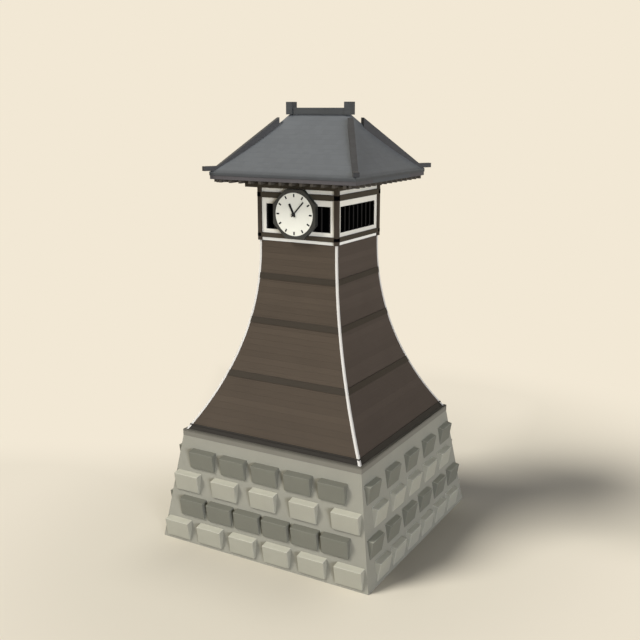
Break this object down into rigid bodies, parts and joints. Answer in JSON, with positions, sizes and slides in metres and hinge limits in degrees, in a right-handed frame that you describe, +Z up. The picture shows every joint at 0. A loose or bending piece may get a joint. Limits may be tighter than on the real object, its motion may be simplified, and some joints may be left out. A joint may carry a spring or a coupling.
{
  "type": "timber clock tower on a stone base",
  "caption": "Tapering timber clock tower on a battered stone base, with a windowed clock room, a clock on the front and a hipped tile roof.",
  "frame": {"origin": "middle of the stone base's underside, at ground level", "axes": "+Z up, -Y out of the front with the clock, +X to the right as seen from the front, along the roof ridge"},
  "size_m": [8.8818, 8.9818, 16],
  "materials": {
    "base_stone": "matt, rough dressed stone",
    "coping_stone": "matt, smoother dressed stone",
    "pale_stone": "matt pale dressed stone",
    "dark_stone": "matt darker dressed stone",
    "wall_cladding": "matt dark brown boarding",
    "band_timber": "matt dark stained timber",
    "white_trim": "matt off-white paint",
    "dark_timber": "matt dark stained timber",
    "plaster": "matt lime plaster",
    "eaves_board": "matt dark grey board",
    "roof_tile": "matt dark grey tile",
    "ridge_tile": "matt near-black tile",
    "clock_case": "satin near-black paint",
    "dial_face": "satin off-white enamel",
    "clock_black": "satin black paint",
    "window_pane": "matt near-black glass"
  },
  "bodies": {
    "tower": {"back_eaves": "eaves_board", "back_panel": "plaster", "back_rafters": "dark_timber", "back_sill": "dark_timber", "back_wall": "wall_cladding", "back_wall_plate": "dark_timber", "base_coping": "coping_stone", "clock_arbor": "clock_black", "clock_case": "clock_case", "clock_room_floor": "dark_timber", "corner_posts": "dark_timber", "corner_strips": "white_trim", "dark_face_stones": "dark_stone", "dial": "dial_face", "front_eaves": "eaves_board", "front_panel": "plaster", "front_rafters": "dark_timber", "front_sill": "dark_timber", "front_wall": "wall_cladding", "front_wall_plate": "dark_timber", "hip_rafters": "dark_timber", "hip_ridges": "ridge_tile", "hour_marks": "clock_black", "left_eaves": "eaves_board", "left_panel": "plaster", "left_rafters": "dark_timber", "left_sill": "dark_timber", "left_wall": "wall_cladding", "lower_bands": "band_timber", "lower_rails": "dark_timber", "middle_bands": "band_timber", "pale_face_stones": "pale_stone", "ridge": "ridge_tile", "ridge_ends": "ridge_tile", "right_eaves": "eaves_board", "right_panel": "plaster", "right_rafters": "dark_timber", "right_sill": "dark_timber", "right_wall": "wall_cladding", "roof": "roof_tile", "side_wall_plates": "dark_timber", "stone_base": "base_stone", "upper_bands": "band_timber", "upper_rails": "dark_timber", "window_panes": "window_pane"},
    "minute_hand": {"minute_hand": "clock_black"},
    "hour_hand": {"hour_hand": "clock_black"}
  },
  "joints": [
    {"name": "minute_hand_spin", "type": "hinge", "parent": "tower", "child": "minute_hand", "pos_m": [0, -1.9, 12.17], "axis": [0, 1, 0], "continuous": true},
    {"name": "hour_hand_spin", "type": "hinge", "parent": "tower", "child": "hour_hand", "pos_m": [0, -1.9, 12.17], "axis": [0, 1, 0], "continuous": true}
  ],
  "couplings": [
    {"joint": "hour_hand_spin", "follows": "minute_hand_spin", "ratio": 0.083333}
  ]
}
